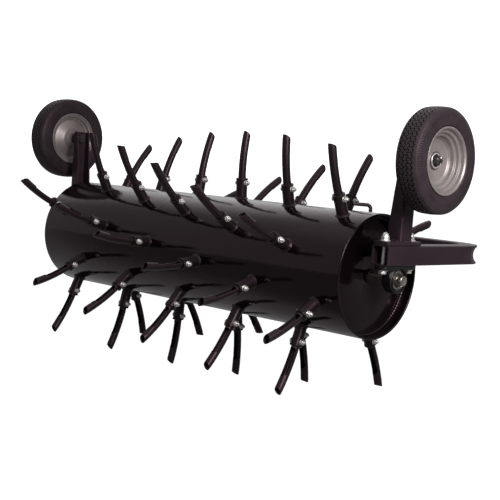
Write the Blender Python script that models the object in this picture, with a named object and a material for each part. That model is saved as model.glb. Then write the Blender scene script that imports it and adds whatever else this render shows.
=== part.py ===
"""Tow-behind drum core aerator, in metres.

X runs along the drum's axle, +Y points to the tongue and +Z is up. The frame is shown level, in its
working position, with both transport wheels up. The shapes below are laid out from the middle of the
drum, on its axle. The last step then moves the origin to the ground, under the middle of the machine.
"""
import math

import bmesh
import bpy
from mathutils import Matrix, Vector

GAP = 0.0003                    # clearance between touching pieces
SIDES = (("left", -1), ("right", 1))
GROUND_POINT = (0.0, 0.2162, -0.3527)    # under the machine's middle, level with the lowest tip

# Drum: a 12.75 in pipe, 48 in long, with end plates set in from its ends
DRUM_RADIUS = 0.161925
DRUM_LENGTH = 1.2192
SHELL_WALL = 0.00635
PLATE_RECESS = 0.030
DRUM_SEGMENTS = 48

# Tines: eight rows, wound round the drum, with alternate rows half a pitch along
COLUMN_PITCH = 0.2108           # between neighbouring tines of one row
HELIX_STEP = math.radians(10.8) # turn between neighbouring tines of one row
ROW_ANGLES = (-4, 40, 85, 136, 180, 226, 270, 313)   # degrees from +Y, where a row crosses mid-drum
WIDE_ROW = 6                    # tines in the rows that start with row 1
NARROW_ROW = 5
SOCKET_RADIUS = 0.0155
SOCKET_BORE = 0.0118
SOCKET_HEIGHT = 0.058
SOCKET_LEAN = math.radians(3)
SPOON_RADIUS = 0.0111
SPOON_WALL = 0.0024
SPOON_LENGTH = 0.190            # from the drum's surface to the tip, along the socket's axis
SPOON_BEND = 0.565              # radius of the curve beyond the socket
SPOON_SLANT = math.tan(math.radians(28))    # how the tip is cut, longer on the outside of the curve
WINDOW = (0.0645, 0.142)        # where the side opening starts and ends
TINE_SIDES = 8

# Axle and bearings: a 25.4 mm shaft in pillow blocks that hang under the rails
AXLE_RADIUS = 0.0127
AXLE_LENGTH = 1.378
BEARING_X = 0.660
BLOCK_HEIGHT = 0.0365
BLOCK_LENGTH = 0.140
BLOCK_WIDTH = 0.038
FOOT_THICKNESS = 0.0105
DOME_RADIUS = 0.0345
DOME_WIDTH = 0.026
RING_RADIUS = 0.0234
RING_BORE = AXLE_RADIUS + GAP
RING_WIDTH = 0.020
BOLT_SPACING = 0.105
BOLT_RADIUS = 0.0060
BOLT_HEAD = 0.0105              # radius of the circle through a hexagon's corners
WASHER_RADIUS = 0.0135
WASHER_THICKNESS = 0.0025
HEAD_HEIGHT = 0.008
NUT_SIDES = 0.010               # height of a domed nut's hexagon
NUT_HEIGHT = 0.0188

# Frame: 2 in square tube bent to a U, with a tongue and a clevis
TUBE = 0.0508
TUBE_WALL = 0.0032
RAIL_Z = BLOCK_HEIGHT + GAP + TUBE / 2
RAIL_START = -0.070
CROSS_Y = 0.3914
BEND_RADIUS = 0.0889
BEND_STEPS = 6
TONGUE_END = 0.690
CLEVIS_START = 0.620
CLEVIS_END = 0.785
CLEVIS_THICKNESS = 0.0095
PIN_Y = 0.743
PIN_RADIUS = 0.00635
PIN_TOP = 0.1545
PIN_BOTTOM = -0.020
PIN_HANDLE = 0.085
PIN_COLLAR = 0.0115
PIN_BEND = 0.014

# Wheel arms: tapered channels, open towards the drum, on flat plates bolted to the rails
PLATE_THICKNESS = 0.0095
PLATE_WIDTH = 0.049
ARM_Y = 0.007
ARM_WIDTH = 0.050
ARM_WALL = 0.005
ARM_WEB_X = 0.681
ARM_FOOT_DEPTH = 0.044
ARM_TOP_DEPTH = 0.021
ARM_TOP = 0.326
BOSS_RADIUS = 0.020
BOSS_END = 0.7005

# Wheels
WHEEL_X = 0.748
WHEEL_Z = 0.303
TYRE_RADIUS = 0.1315
TYRE_WIDTH = 0.069
TREAD_WIDTH = 0.046
RIM_RADIUS = 0.084
RIM_WIDTH = 0.064
RIM_SHEET = 0.003
BARREL_RADIUS = 0.076
DISC_OFFSET = -0.006
HUB_RADIUS = 0.021
HUB_INNER = 0.7015
HUB_OUTER = 0.745
WHEEL_BOLT_RADIUS = 0.0079
WHEEL_BORE = 0.0085
WHEEL_BOLT_HEAD = 0.0135
WHEEL_WASHER = 0.017
WHEEL_SEGMENTS = 32

PAINT = ((0.012, 0.010, 0.012), 0.22, 0.0)
RUBBER = ((0.020, 0.018, 0.019), 0.75, 0.0)
SILVER = ((0.42, 0.40, 0.40), 0.38, 0.6)
ZINC = ((0.72, 0.72, 0.70), 0.30, 1.0)
STEEL = ((0.50, 0.48, 0.45), 0.28, 1.0)


def clear_scene():
    for old in list(bpy.data.objects):
        bpy.data.objects.remove(old, do_unlink=True)


def make_material(name, look):
    colour, roughness, metallic = look
    material = bpy.data.materials.new(name)
    material.use_nodes = True
    shader = material.node_tree.nodes["Principled BSDF"]
    shader.inputs["Base Color"].default_value = (*colour, 1.0)
    shader.inputs["Roughness"].default_value = roughness
    shader.inputs["Metallic"].default_value = metallic
    material.diffuse_color = (*colour, 1.0)
    return material


def finish_mesh(bm, name, smooth=True):
    bmesh.ops.recalc_face_normals(bm, faces=bm.faces)
    mesh = bpy.data.meshes.new(name)
    bm.to_mesh(mesh)
    bm.free()
    if smooth:
        mesh.shade_smooth()
        mesh.set_sharp_from_angle(angle=math.radians(35))
    return mesh


def add_object(name, mesh, material, parent=None, matrix=None):
    item = bpy.data.objects.new(name, mesh)
    bpy.context.collection.objects.link(item)
    if material and not mesh.materials:
        mesh.materials.append(material)
    if parent:
        item.parent = parent
        item.matrix_parent_inverse = parent.matrix_basis.inverted()
    if matrix is not None:
        item.matrix_basis = matrix
    return item


def add_axis(name, location):
    empty = bpy.data.objects.new(name, None)
    bpy.context.collection.objects.link(empty)
    empty.location = location
    return empty


def add_helper(name, bm):
    helper = add_object(name, finish_mesh(bm, name), None)
    helper.hide_render = True
    helper.display_type = "WIRE"
    return helper


def add_boolean(item, helper, operation):
    modifier = item.modifiers.new(helper.name, "BOOLEAN")
    modifier.object = helper
    modifier.operation = operation
    modifier.solver = "EXACT"


def lathe(bm, profile, segments, centre=(0, 0), closed=True):
    """Spin an (x, radius) profile about a line parallel to X through centre (y, z)."""
    rings = []
    for x, radius in profile:
        ring = []
        for step in range(segments):
            angle = math.tau * step / segments
            y = centre[0] + radius * math.cos(angle)
            z = centre[1] + radius * math.sin(angle)
            ring.append(bm.verts.new((x, y, z)))
        rings.append(ring)
    pairs = list(zip(rings, rings[1:]))
    if closed:
        pairs.append((rings[-1], rings[0]))
    for first, second in pairs:
        bridge(bm, first, second)
    if not closed:
        bm.faces.new(rings[0])
        bm.faces.new(rings[-1])


def bridge(bm, first, second):
    count = len(first)
    for index in range(count):
        after = (index + 1) % count
        bm.faces.new((first[index], first[after], second[after], second[index]))


def upright(bm, levels, centre, segments, turn=0.0):
    """A solid of stacked discs about a vertical line: levels are (z, radius)."""
    rings = []
    for z, radius in levels:
        ring = []
        for step in range(segments):
            angle = turn + math.tau * step / segments
            ring.append(bm.verts.new((centre[0] + radius * math.cos(angle),
                                      centre[1] + radius * math.sin(angle), z)))
        rings.append(ring)
    for first, second in zip(rings, rings[1:]):
        bridge(bm, first, second)
    bm.faces.new(rings[0])
    bm.faces.new(rings[-1])


def box(bm, low, high):
    size = [high[axis] - low[axis] for axis in range(3)]
    middle = [(high[axis] + low[axis]) / 2 for axis in range(3)]
    matrix = Matrix.Translation(middle) @ Matrix.Diagonal((*size, 1.0))
    bmesh.ops.create_cube(bm, size=1.0, matrix=matrix)


def prism_x(bm, outline, x_low, x_high):
    """Extrude a (y, z) outline along X."""
    near = [bm.verts.new((x_low, y, z)) for y, z in outline]
    far = [bm.verts.new((x_high, y, z)) for y, z in outline]
    bridge(bm, near, far)
    bm.faces.new(near)
    bm.faces.new(far)


def tine_places():
    """The (row, number, x, angle) of every tine."""
    places = []
    for row, row_angle in enumerate(ROW_ANGLES):
        count = WIDE_ROW if row % 2 == 0 else NARROW_ROW
        for number in range(count):
            steps = number - (count - 1) / 2
            angle = math.radians(row_angle) + HELIX_STEP * steps
            places.append((row + 1, number + 1, COLUMN_PITCH * steps, angle))
    return places


def tine_matrix(x, angle):
    """Turns a tine that stands on +Y at the drum's surface to its place on the drum."""
    lean = Matrix.Rotation(SOCKET_LEAN, 4, "X")
    return (Matrix.Translation((x, 0, 0)) @ Matrix.Rotation(angle, 4, "X")
            @ Matrix.Translation((0, DRUM_RADIUS, 0)) @ lean)


def tine_ring(along, radius, slant=0.0):
    """A ring of points round the spoon's centre line at a distance beyond the drum's surface."""
    ring = []
    for step in range(TINE_SIDES):
        angle = math.tau * (step + 0.5) / TINE_SIDES
        here = along - slant * (SPOON_RADIUS - radius * math.sin(angle))
        turn = math.asin(max(0.0, here - SOCKET_HEIGHT) / SPOON_BEND)
        centre = Vector((0, here, -SPOON_BEND * (1 - math.cos(turn))))
        across = Vector((0, math.sin(turn), math.cos(turn)))
        ring.append(centre + radius * (across * math.sin(angle) + Vector((1, 0, 0)) * math.cos(angle)))
    return ring


def spoon_mesh():
    """A curved coring spoon: solid shank, hollow slanted tip and a window on the inside of the curve."""
    bm = bmesh.new()
    start, end = WINDOW
    tip = (SPOON_LENGTH, SPOON_SLANT)
    outer = [[bm.verts.new(point) for point in tine_ring(along, SPOON_RADIUS, slant)]
             for along, slant in ((0.003, 0.0), (SOCKET_HEIGHT, 0.0), (start, 0.0), (end, 0.0), tip)]
    inner = [[bm.verts.new(point) for point in tine_ring(along, SPOON_RADIUS - SPOON_WALL, slant)]
             for along, slant in ((start, 0.0), (end, 0.0), tip)]
    bridge(bm, outer[0], outer[1])
    bridge(bm, outer[1], outer[2])
    bridge(bm, outer[3], outer[4])
    bridge(bm, inner[1], inner[2])
    bridge(bm, outer[4], inner[2])
    bm.faces.new(outer[0])
    bm.faces.new(inner[0])
    opening = range(TINE_SIDES // 2, TINE_SIDES - 1)
    for index in range(TINE_SIDES):
        after = (index + 1) % TINE_SIDES
        if index in opening:
            bm.faces.new((outer[2][index], outer[2][after], inner[0][after], inner[0][index]))
            bm.faces.new((outer[3][index], outer[3][after], inner[1][after], inner[1][index]))
        else:
            bm.faces.new((outer[2][index], outer[2][after], outer[3][after], outer[3][index]))
            bm.faces.new((inner[0][index], inner[0][after], inner[1][after], inner[1][index]))
    for edge in (opening[0], opening[-1] + 1):
        bm.faces.new((outer[2][edge], outer[3][edge], inner[1][edge], inner[0][edge]))
    return finish_mesh(bm, "spoon")


def socket_cup(bm, matrix):
    """A socket tube with a blind bore, sunk into the drum's wall."""
    def ring(along, radius):
        points = []
        for step in range(TINE_SIDES):
            angle = math.tau * (step + 0.5) / TINE_SIDES
            points.append(bm.verts.new(matrix @ Vector((radius * math.cos(angle), along,
                                                        radius * math.sin(angle)))))
        return points
    root = ring(-0.004, SOCKET_RADIUS)
    mouth = ring(SOCKET_HEIGHT, SOCKET_RADIUS)
    bore = ring(SOCKET_HEIGHT, SOCKET_BORE / math.cos(math.pi / TINE_SIDES))
    floor = ring(0.002, SOCKET_BORE / math.cos(math.pi / TINE_SIDES))
    bridge(bm, root, mouth)
    bridge(bm, mouth, bore)
    bridge(bm, bore, floor)
    bm.faces.new(root)
    bm.faces.new(floor)


def build_drum(paint, axis):
    """The shell, its two recessed end plates and all the sockets, welded together."""
    end = DRUM_LENGTH / 2
    plate_out = end - PLATE_RECESS
    plate_in = plate_out - SHELL_WALL
    inside = DRUM_RADIUS - SHELL_WALL
    hole = AXLE_RADIUS + GAP
    half = [(end, DRUM_RADIUS), (end, inside), (plate_out, inside), (plate_out, hole),
            (plate_in, hole), (plate_in, inside)]
    profile = half + [(-x, radius) for x, radius in reversed(half)]
    bm = bmesh.new()
    lathe(bm, profile, DRUM_SEGMENTS)
    drum = add_object("drum", finish_mesh(bm, "drum"), paint, axis)
    bm = bmesh.new()
    for row, number, x, angle in tine_places():
        socket_cup(bm, tine_matrix(x, angle))
    sockets = add_helper("socket_tubes", bm)
    add_boolean(drum, sockets, "UNION")


def build_tines(paint, axis):
    mesh = spoon_mesh()
    for row, number, x, angle in tine_places():
        add_object(f"tine_row{row}_no{number}", mesh, paint, axis, tine_matrix(x, angle))


def build_axle(steel, axis):
    half = AXLE_LENGTH / 2
    chamfer = 0.0015
    profile = [(-half, AXLE_RADIUS - chamfer), (chamfer - half, AXLE_RADIUS),
               (half - chamfer, AXLE_RADIUS), (half, AXLE_RADIUS - chamfer)]
    bm = bmesh.new()
    lathe(bm, profile, 24, closed=False)
    add_object("axle", finish_mesh(bm, "axle"), steel, axis)


def build_bearing(name, sign, paint, steel, drum_axis):
    """A pillow block upside down under the rail, its two through bolts, and its inner ring."""
    x = sign * BEARING_X
    half_length = BLOCK_LENGTH / 2
    foot = BLOCK_HEIGHT - FOOT_THICKNESS
    bm = bmesh.new()
    dome = [(-half_length, foot), (-half_length, BLOCK_HEIGHT), (half_length, BLOCK_HEIGHT),
            (half_length, foot)]
    prism_x(bm, dome, x - BLOCK_WIDTH / 2, x + BLOCK_WIDTH / 2)
    block = add_object(f"{name}_bearing_housing", finish_mesh(bm, "bearing_housing"), paint)
    bm = bmesh.new()
    half_dome = DOME_WIDTH / 2
    lathe(bm, [(x - half_dome, DOME_RADIUS), (x + half_dome, DOME_RADIUS)], 28, closed=False)
    add_boolean(block, add_helper(f"{name}_dome", bm), "UNION")
    bm = bmesh.new()
    top = RAIL_Z + TUBE / 2 + GAP + PLATE_THICKNESS + GAP
    nut = top + WASHER_THICKNESS
    head = foot - WASHER_THICKNESS - HEAD_HEIGHT
    for side in (-1, 1):
        upright(bm, [(head, BOLT_HEAD), (foot - WASHER_THICKNESS, BOLT_HEAD),
                     (foot - WASHER_THICKNESS, WASHER_RADIUS), (foot + 0.001, WASHER_RADIUS),
                     (foot + 0.001, BOLT_RADIUS), (top, BOLT_RADIUS), (top, WASHER_RADIUS),
                     (top + WASHER_THICKNESS, WASHER_RADIUS), (top + WASHER_THICKNESS, BOLT_HEAD),
                     (nut + NUT_SIDES, BOLT_HEAD), (nut + NUT_HEIGHT * 0.85, BOLT_HEAD * 0.75),
                     (nut + NUT_HEIGHT, BOLT_HEAD * 0.35)],
                (x, side * BOLT_SPACING / 2), 6)
    add_boolean(block, add_helper(f"{name}_bearing_bolts", bm), "UNION")
    bm = bmesh.new()
    lathe(bm, [(x - BLOCK_WIDTH, RING_RADIUS + GAP), (x + BLOCK_WIDTH, RING_RADIUS + GAP)], 28,
          closed=False)
    add_boolean(block, add_helper(f"{name}_bearing_bore", bm), "DIFFERENCE")
    bm = bmesh.new()
    half_ring = RING_WIDTH / 2
    lathe(bm, [(x - half_ring, RING_RADIUS), (x + half_ring, RING_RADIUS),
               (x + half_ring, RING_BORE), (x - half_ring, RING_BORE)], 24)
    add_object(f"{name}_bearing_inner_ring", finish_mesh(bm, "inner_ring"), steel, drum_axis)


def frame_path():
    """Centre points and sideways directions of the U, from the left rail's end to the right's."""
    corner_x = BEARING_X - BEND_RADIUS
    corner_y = CROSS_Y - BEND_RADIUS
    path = [(Vector((-BEARING_X, RAIL_START, RAIL_Z)), Vector((-1, 0, 0)))]
    for sign, first in ((-1, 0), (1, BEND_STEPS)):
        for step in range(BEND_STEPS + 1):
            angle = math.radians(90) * abs(first - step) / BEND_STEPS
            outward = Vector((sign * math.cos(angle), math.sin(angle), 0))
            centre = Vector((sign * corner_x, corner_y, RAIL_Z)) + outward * BEND_RADIUS
            path.append((centre, outward))
    path.append((Vector((BEARING_X, RAIL_START, RAIL_Z)), Vector((1, 0, 0))))
    return path


def square_tube(bm, path):
    """Sweep a hollow square section along (centre, outward) stations."""
    def section(centre, outward, half):
        corners = ((-1, -1), (1, -1), (1, 1), (-1, 1))
        return [bm.verts.new(centre + outward * (a * half) + Vector((0, 0, b * half)))
                for a, b in corners]
    outer = [section(centre, outward, TUBE / 2) for centre, outward in path]
    inner = [section(centre, outward, TUBE / 2 - TUBE_WALL) for centre, outward in path]
    for rings in (outer, inner):
        for first, second in zip(rings, rings[1:]):
            bridge(bm, first, second)
    bridge(bm, outer[0], inner[0])
    bridge(bm, outer[-1], inner[-1])


def build_frame(paint):
    """The U-shaped tube, the tongue and the two clevis plates, welded together."""
    bm = bmesh.new()
    square_tube(bm, frame_path())
    frame = add_object("frame", finish_mesh(bm, "frame"), paint)
    bm = bmesh.new()
    tongue_start = CROSS_Y + TUBE / 2 - 0.001
    square_tube(bm, [(Vector((0, y, RAIL_Z)), Vector((-1, 0, 0))) for y in (tongue_start, TONGUE_END)])
    add_boolean(frame, add_helper("tongue_tube", bm), "UNION")
    bm = bmesh.new()
    for sign in (-1, 1):
        face = RAIL_Z + sign * (TUBE / 2 - 0.0005)
        edge = face + sign * CLEVIS_THICKNESS
        box(bm, (-TUBE / 2 + 0.001, CLEVIS_START, min(face, edge)),
            (TUBE / 2 - 0.001, CLEVIS_END, max(face, edge)))
    add_boolean(frame, add_helper("clevis_plates", bm), "UNION")
    bm = bmesh.new()
    low = RAIL_Z - TUBE
    high = RAIL_Z + TUBE
    upright(bm, [(low, PIN_RADIUS + 0.0006), (high, PIN_RADIUS + 0.0006)], (0, PIN_Y), 16)
    for sign in (-1, 1):
        for side in (-1, 1):
            centre = (sign * BEARING_X, side * BOLT_SPACING / 2)
            upright(bm, [(low, BOLT_RADIUS + 0.0006), (high, BOLT_RADIUS + 0.0006)], centre, 12)
    add_boolean(frame, add_helper("frame_holes", bm), "DIFFERENCE")


def build_pin(zinc, axis):
    """The hitch pin, with its handle bent level at 45 degrees towards the drum."""
    away = Vector((-1, -1, 0)).normalized()
    path = [(Vector((0, PIN_Y, PIN_BOTTOM)), Vector((0, 0, 1)), PIN_RADIUS * 0.6),
            (Vector((0, PIN_Y, PIN_BOTTOM + 0.004)), Vector((0, 0, 1)), PIN_RADIUS)]
    for step in range(4):
        angle = math.radians(30) * step
        centre = Vector((0, PIN_Y, PIN_TOP - PIN_BEND)) + away * PIN_BEND * (1 - math.cos(angle))
        centre.z += PIN_BEND * math.sin(angle)
        path.append((centre, Vector((0, 0, math.cos(angle))) + away * math.sin(angle), PIN_RADIUS))
    path.append((Vector((0, PIN_Y, PIN_TOP)) + away * PIN_HANDLE, away, PIN_RADIUS))
    side = away.cross(Vector((0, 0, 1)))
    bm = bmesh.new()
    rings = []
    for centre, along, radius in path:
        up = side.cross(along)
        rings.append([bm.verts.new(centre + radius * (side * math.cos(math.tau * step / 10)
                                                      + up * math.sin(math.tau * step / 10)))
                      for step in range(10)])
    for first, second in zip(rings, rings[1:]):
        bridge(bm, first, second)
    bm.faces.new(rings[0])
    bm.faces.new(rings[-1])
    pin = add_object("hitch_pin", finish_mesh(bm, "hitch_pin"), zinc, axis)
    bm = bmesh.new()
    seat = RAIL_Z + TUBE / 2 + CLEVIS_THICKNESS
    upright(bm, [(seat, PIN_COLLAR), (seat + 0.004, PIN_COLLAR)], (0, PIN_Y), 12)
    add_boolean(pin, add_helper("pin_collar", bm), "UNION")


def build_arm(name, sign, paint):
    """A base plate, a tapered channel that is open towards the drum, and a boss for the wheel."""
    low = RAIL_Z + TUBE / 2 + GAP
    floor = low + PLATE_THICKNESS
    half_plate = PLATE_WIDTH / 2
    x = sign * BEARING_X
    bm = bmesh.new()
    box(bm, (x - half_plate, -BLOCK_LENGTH / 2, low), (x + half_plate, BLOCK_LENGTH / 2, floor))
    arm = add_object(f"{name}_wheel_arm", finish_mesh(bm, "wheel_arm"), paint)
    bm = bmesh.new()
    rings = []
    for z, depth in ((floor - 0.001, ARM_FOOT_DEPTH), (ARM_TOP, ARM_TOP_DEPTH)):
        web = sign * ARM_WEB_X
        inside = sign * (ARM_WEB_X - ARM_WALL)
        free = sign * (ARM_WEB_X - depth)
        front = ARM_Y - ARM_WIDTH / 2
        back = ARM_Y + ARM_WIDTH / 2
        outline = [(free, front), (web, front), (web, back), (free, back), (free, back - ARM_WALL),
                   (inside, back - ARM_WALL), (inside, front + ARM_WALL), (free, front + ARM_WALL)]
        rings.append([bm.verts.new((px, py, z)) for px, py in outline])
    bridge(bm, rings[0], rings[1])
    bm.faces.new(rings[0])
    bm.faces.new(rings[1])
    add_boolean(arm, add_helper(f"{name}_arm_channel", bm), "UNION")
    bm = bmesh.new()
    lathe(bm, [(sign * (ARM_WEB_X - 0.002), BOSS_RADIUS), (sign * BOSS_END, BOSS_RADIUS)], 24,
          (ARM_Y, WHEEL_Z), closed=False)
    add_boolean(arm, add_helper(f"{name}_arm_boss", bm), "UNION")
    bm = bmesh.new()
    lathe(bm, [(sign * 0.66, WHEEL_BORE), (sign * 0.71, WHEEL_BORE)], 20, (ARM_Y, WHEEL_Z),
          closed=False)
    for side in (-1, 1):
        upright(bm, [(low - 0.01, BOLT_RADIUS + 0.0006), (floor + 0.01, BOLT_RADIUS + 0.0006)],
                (x, side * BOLT_SPACING / 2), 12)
    add_boolean(arm, add_helper(f"{name}_arm_holes", bm), "DIFFERENCE")


def build_wheel(name, sign, rubber, silver, zinc):
    """Tyre and rim, which turn together, and the bolt that they turn on."""
    centre = (0.0, 0.0)
    axis = add_axis(f"{name}_wheel_axis", (0, ARM_Y, WHEEL_Z))
    matrix = Matrix.Identity(4)

    def place(points):
        return [(sign * (WHEEL_X + x), radius) for x, radius in points]

    half_tyre = TYRE_WIDTH / 2
    half_rim = RIM_WIDTH / 2
    bead = half_rim - RIM_SHEET - GAP
    seat = BARREL_RADIUS + GAP
    lip = RIM_RADIUS + GAP
    half_tread = TREAD_WIDTH / 2
    tyre = place([(-bead, seat), (-bead, lip), (-half_tyre + 0.001, lip), (-half_tyre, 0.102),
                  (-half_tyre + 0.001, 0.1165), (-half_tyre + 0.0045, 0.1255),
                  (-half_tread, TYRE_RADIUS - 0.0014), (0.0, TYRE_RADIUS),
                  (half_tread, TYRE_RADIUS - 0.0014), (half_tyre - 0.0045, 0.1255),
                  (half_tyre - 0.001, 0.1165), (half_tyre, 0.102), (half_tyre - 0.001, lip),
                  (bead, lip), (bead, seat)])
    bm = bmesh.new()
    lathe(bm, tyre, WHEEL_SEGMENTS, centre)
    add_object(f"{name}_tyre", finish_mesh(bm, "tyre"), rubber, None, matrix).parent = axis
    hub_in = HUB_INNER - WHEEL_X
    hub_out = HUB_OUTER - WHEEL_X
    inner_barrel = BARREL_RADIUS - RIM_SHEET
    rim = place([(-half_rim, RIM_RADIUS), (-half_rim, inner_barrel),
                 (DISC_OFFSET - RIM_SHEET, inner_barrel), (DISC_OFFSET - RIM_SHEET, HUB_RADIUS),
                 (hub_in, HUB_RADIUS), (hub_in, WHEEL_BORE), (hub_out, WHEEL_BORE),
                 (hub_out, HUB_RADIUS), (DISC_OFFSET, HUB_RADIUS), (DISC_OFFSET, inner_barrel),
                 (half_rim, inner_barrel), (half_rim, RIM_RADIUS), (half_rim - RIM_SHEET, RIM_RADIUS),
                 (half_rim - RIM_SHEET, BARREL_RADIUS), (RIM_SHEET - half_rim, BARREL_RADIUS),
                 (RIM_SHEET - half_rim, RIM_RADIUS)])
    bm = bmesh.new()
    lathe(bm, rim, WHEEL_SEGMENTS, centre)
    add_object(f"{name}_rim", finish_mesh(bm, "rim"), silver, None, matrix).parent = axis
    head_face = ARM_WEB_X - ARM_WALL - GAP
    washer = HUB_OUTER + 0.0006
    bm = bmesh.new()
    profile = [(head_face - 0.010, WHEEL_BOLT_HEAD), (head_face, WHEEL_BOLT_HEAD),
               (head_face, WHEEL_BOLT_RADIUS), (washer, WHEEL_BOLT_RADIUS), (washer, WHEEL_WASHER),
               (washer + 0.003, WHEEL_WASHER), (washer + 0.003, WHEEL_BOLT_HEAD),
               (washer + 0.016, WHEEL_BOLT_HEAD), (washer + 0.016, WHEEL_BOLT_RADIUS),
               (washer + 0.021, WHEEL_BOLT_RADIUS)]
    lathe(bm, [(sign * x, radius) for x, radius in profile], 12, (ARM_Y, WHEEL_Z), closed=False)
    add_object(f"{name}_wheel_bolt", finish_mesh(bm, "wheel_bolt"), zinc)


def move_origin():
    for item in bpy.data.objects:
        if item.parent is None:
            item.location -= Vector(GROUND_POINT)


def build():
    clear_scene()
    paint = make_material("black_paint", PAINT)
    rubber = make_material("black_rubber", RUBBER)
    silver = make_material("silver_paint", SILVER)
    zinc = make_material("zinc_plate", ZINC)
    steel = make_material("bearing_steel", STEEL)
    drum_axis = add_axis("drum_axis", (0, 0, 0))
    pin_axis = add_axis("pin_axis", (0, PIN_Y, RAIL_Z))
    build_drum(paint, drum_axis)
    build_tines(paint, drum_axis)
    build_axle(steel, drum_axis)
    build_frame(paint)
    build_pin(paint, pin_axis)
    for name, sign in SIDES:
        build_bearing(name, sign, paint, steel, drum_axis)
        build_arm(name, sign, paint)
        build_wheel(name, sign, rubber, silver, zinc)
    move_origin()


build()
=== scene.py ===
"""Visual model of a tow-behind drum core aerator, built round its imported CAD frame.

Lengths are in metres. Shapes are laid out from the middle of the drum, on its axle, with X along the
axle, +Y to the tongue and +Z up. AXLE_CENTRE moves them to the frame's own origin.
"""
import math

import bmesh
import bpy
from mathutils import Matrix, Vector


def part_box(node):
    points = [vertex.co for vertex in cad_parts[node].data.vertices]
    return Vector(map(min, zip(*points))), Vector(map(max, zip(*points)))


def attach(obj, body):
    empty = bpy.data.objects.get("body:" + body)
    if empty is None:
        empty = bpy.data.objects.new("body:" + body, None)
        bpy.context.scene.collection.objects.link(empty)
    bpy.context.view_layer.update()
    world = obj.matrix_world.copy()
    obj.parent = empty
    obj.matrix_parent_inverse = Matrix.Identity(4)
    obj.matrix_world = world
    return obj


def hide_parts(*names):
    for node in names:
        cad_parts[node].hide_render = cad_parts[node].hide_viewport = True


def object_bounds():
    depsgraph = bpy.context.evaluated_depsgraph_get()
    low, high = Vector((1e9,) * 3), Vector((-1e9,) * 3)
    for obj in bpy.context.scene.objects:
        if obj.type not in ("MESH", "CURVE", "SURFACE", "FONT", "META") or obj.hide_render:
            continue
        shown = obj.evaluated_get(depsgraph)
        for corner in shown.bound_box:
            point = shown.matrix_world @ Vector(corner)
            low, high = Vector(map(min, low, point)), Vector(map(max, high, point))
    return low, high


SIDES = (("left", -1), ("right", 1))

# Drum: a 12.75 in pipe, 48 in long
DRUM_RADIUS = 0.161925
DRUM_LENGTH = 1.2192
SHELL_WALL = 0.00635
PLATE_RECESS = 0.030
DRUM_SEGMENTS = 192

# Tines: eight rows, wound round the drum, with alternate rows half a pitch along
COLUMN_PITCH = 0.2108           # between neighbouring tines of one row
HELIX_STEP = math.radians(10.8) # turn between neighbouring tines of one row
ROW_ANGLES = (-4, 40, 85, 136, 180, 226, 270, 313)   # degrees from +Y, where a row crosses mid-drum
WIDE_ROW = 6
NARROW_ROW = 5
SOCKET_RADIUS = 0.0155
SOCKET_BORE = 0.0118
SOCKET_HEIGHT = 0.058
SOCKET_LEAN = math.radians(3)
SOCKET_SIDES = 40
SOCKET_DEPTH = 0.030            # where the bore ends, above the drum
COLLAR = 0.0013                 # how far the rim at the socket's mouth stands out
SPOON_RADIUS = 0.0111
SPOON_WALL = 0.0024
SPOON_LENGTH = 0.190
SPOON_BEND = 0.565
SPOON_SLANT = math.tan(math.radians(28))
SPOON_SIDES = 32
WINDOW = (0.0645, 0.138)
WINDOW_SLOPE = 1.3
CROSS_BOLT_DEPTH = 0.0135
CROSS_BOLT_RADIUS = 0.004
CROSS_BOLT_FLAT = 0.0065

# Axle and bearings
AXLE_RADIUS = 0.0127
AXLE_LENGTH = 1.378
BEARING_X = 0.660
BLOCK_HEIGHT = 0.0365
BLOCK_LENGTH = 0.140
BLOCK_WIDTH = 0.038
FOOT_THICKNESS = 0.0105
DOME_RADIUS = 0.0345
DOME_WIDTH = 0.026
HOUSING_BORE = 0.0285
BOLT_HOLE = 0.0066
OUTER_RING_HALF = 0.0085
OUTER_RING_BORE = 0.0258
RING_RADIUS = 0.0234
RING_WIDTH = 0.020
RING_RECESS = 0.006
BOLT_SPACING = 0.105
BOLT_RADIUS = 0.006
BOLT_FLAT = 0.0092
WASHER_RADIUS = 0.0135
WASHER_THICKNESS = 0.0025
HEAD_HEIGHT = 0.008
NUT_SIDES = 0.010
NUT_HEIGHT = 0.0188

# Frame
TUBE = 0.0508
TUBE_WALL = 0.0032
TUBE_CORNER = 0.0055
RAIL_Z = 0.0622
RAIL_START = -0.070
CROSS_Y = 0.3914
BEND_RADIUS = 0.0889
BEND_STEPS = 24
BEND_DENT = 0.0125
TONGUE_END = 0.690
CLEVIS_START = 0.620
CLEVIS_END = 0.785
CLEVIS_THICKNESS = 0.0095
PIN_Y = 0.743
PIN_RADIUS = 0.00635
PIN_TOP = 0.1545
PIN_BOTTOM = -0.020
PIN_HANDLE = 0.085
PIN_COLLAR = 0.0115
PIN_BEND = 0.014

# Wheel arms and wheels
PLATE_THICKNESS = 0.0095
PLATE_WIDTH = 0.049
ARM_Y = 0.007
ARM_WIDTH = 0.050
ARM_WALL = 0.005
ARM_BEND = 0.0058
ARM_WEB_X = 0.681
ARM_FOOT_DEPTH = 0.044
ARM_TOP_DEPTH = 0.021
ARM_TOP = 0.326
BOSS_RADIUS = 0.020
BOSS_END = 0.7005
BOSS_BORE = 0.0088
WHEEL_X = 0.748
WHEEL_Z = 0.303
TYRE_RADIUS = 0.1315
TREAD_BLOCKS = 62
TREAD_EDGE = 0.0240
CROWN = 0.0014
HUB_INNER = 0.7015
WHEEL_BORE = 0.0085
WHEEL_BOLT_RADIUS = 0.0079
WHEEL_SEGMENTS = 144

# Camera, from the middle of the drum
CAMERA_PLACE = (2.2170, -2.1627, 0.2537)
CAMERA_AZIMUTH = math.radians(43.651)
CAMERA_DIP = math.radians(4.484)
CAMERA_ROLL = math.radians(4.402)
CAMERA_LENS = 76.23

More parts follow.
